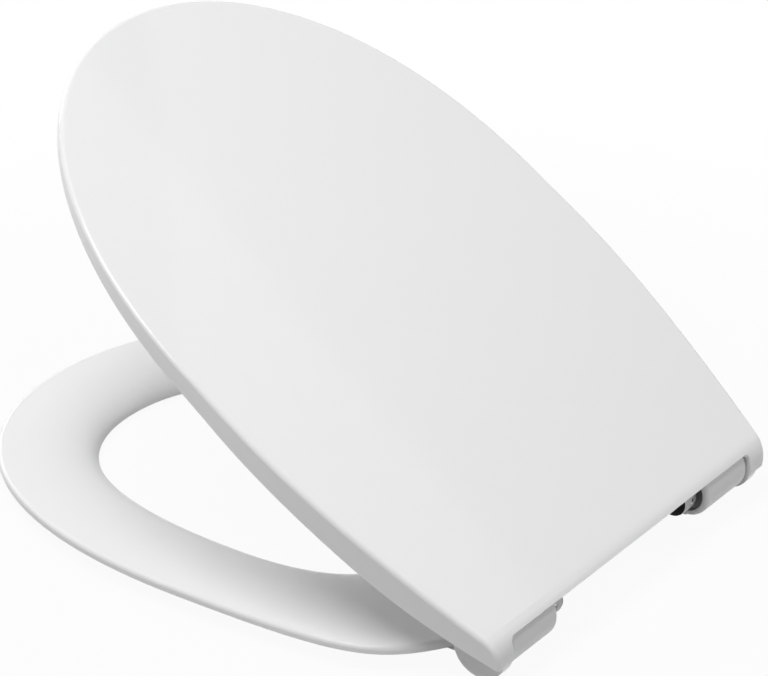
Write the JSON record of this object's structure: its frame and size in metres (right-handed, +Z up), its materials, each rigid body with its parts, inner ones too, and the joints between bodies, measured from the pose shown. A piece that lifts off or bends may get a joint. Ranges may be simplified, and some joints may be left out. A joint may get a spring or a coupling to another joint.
{
  "type": "toilet seat",
  "caption": "White toilet seat: a ring with a rolled bowl opening and a wedge-shaped lid, both swinging on soft-close barrel hinges with hubs for the pan posts.",
  "frame": {"origin": "midway between the mouths of the two pan post sockets, 8 mm below the hinge axis", "axes": "+Z up, front of the seat towards -Y, hinge axis along X"},
  "size_m": [0.3612, 0.4587, 0.2885],
  "materials": {
    "white_lid": "smooth satin white moulding",
    "white_ring": "smooth satin white moulding",
    "white_barrel": "fine satin light grey moulding",
    "hub_metal": "satin metal",
    "black_cap": "black moulding",
    "steel_screw": "bright steel",
    "grey_bearing": "dark grey moulding",
    "pad_rubber": "soft white pads"
  },
  "bodies": {
    "hinge_mounts": {"post_hub_left": "hub_metal", "post_hub_right": "hub_metal", "hub_cap_left": "black_cap", "hub_cap_right": "black_cap", "hub_screw_left": "steel_screw", "hub_screw_right": "steel_screw"},
    "seat": {"seat_ring": "white_ring", "hinge_barrel_left": "white_barrel", "hinge_barrel_right": "white_barrel", "flange_screws_left": "steel_screw", "flange_screws_right": "steel_screw", "barrel_plug_left": "grey_bearing", "barrel_plug_right": "grey_bearing", "damper_left": "grey_bearing", "damper_right": "grey_bearing", "thrust_bush_left": "grey_bearing", "thrust_bush_right": "grey_bearing", "seat_buffer_front_left": "pad_rubber", "seat_buffer_front_right": "pad_rubber", "seat_buffer_rear_left": "pad_rubber", "seat_buffer_rear_right": "pad_rubber"},
    "lid": {"lid": "white_lid", "lid_bush_left": "grey_bearing", "lid_bush_right": "grey_bearing", "lid_buffer_left": "pad_rubber", "lid_buffer_right": "pad_rubber"}
  },
  "joints": [
    {"name": "seat_hinge", "type": "hinge", "parent": "hinge_mounts", "child": "seat", "pos_m": [0, 0, 0.008], "axis": [-1, 0, 0], "range_deg": [0, 98]},
    {"name": "lid_hinge", "type": "hinge", "parent": "seat", "child": "lid", "pos_m": [0, 0, 0.008], "axis": [-1, 0, 0], "range_deg": [-36.1, 70]}
  ]
}
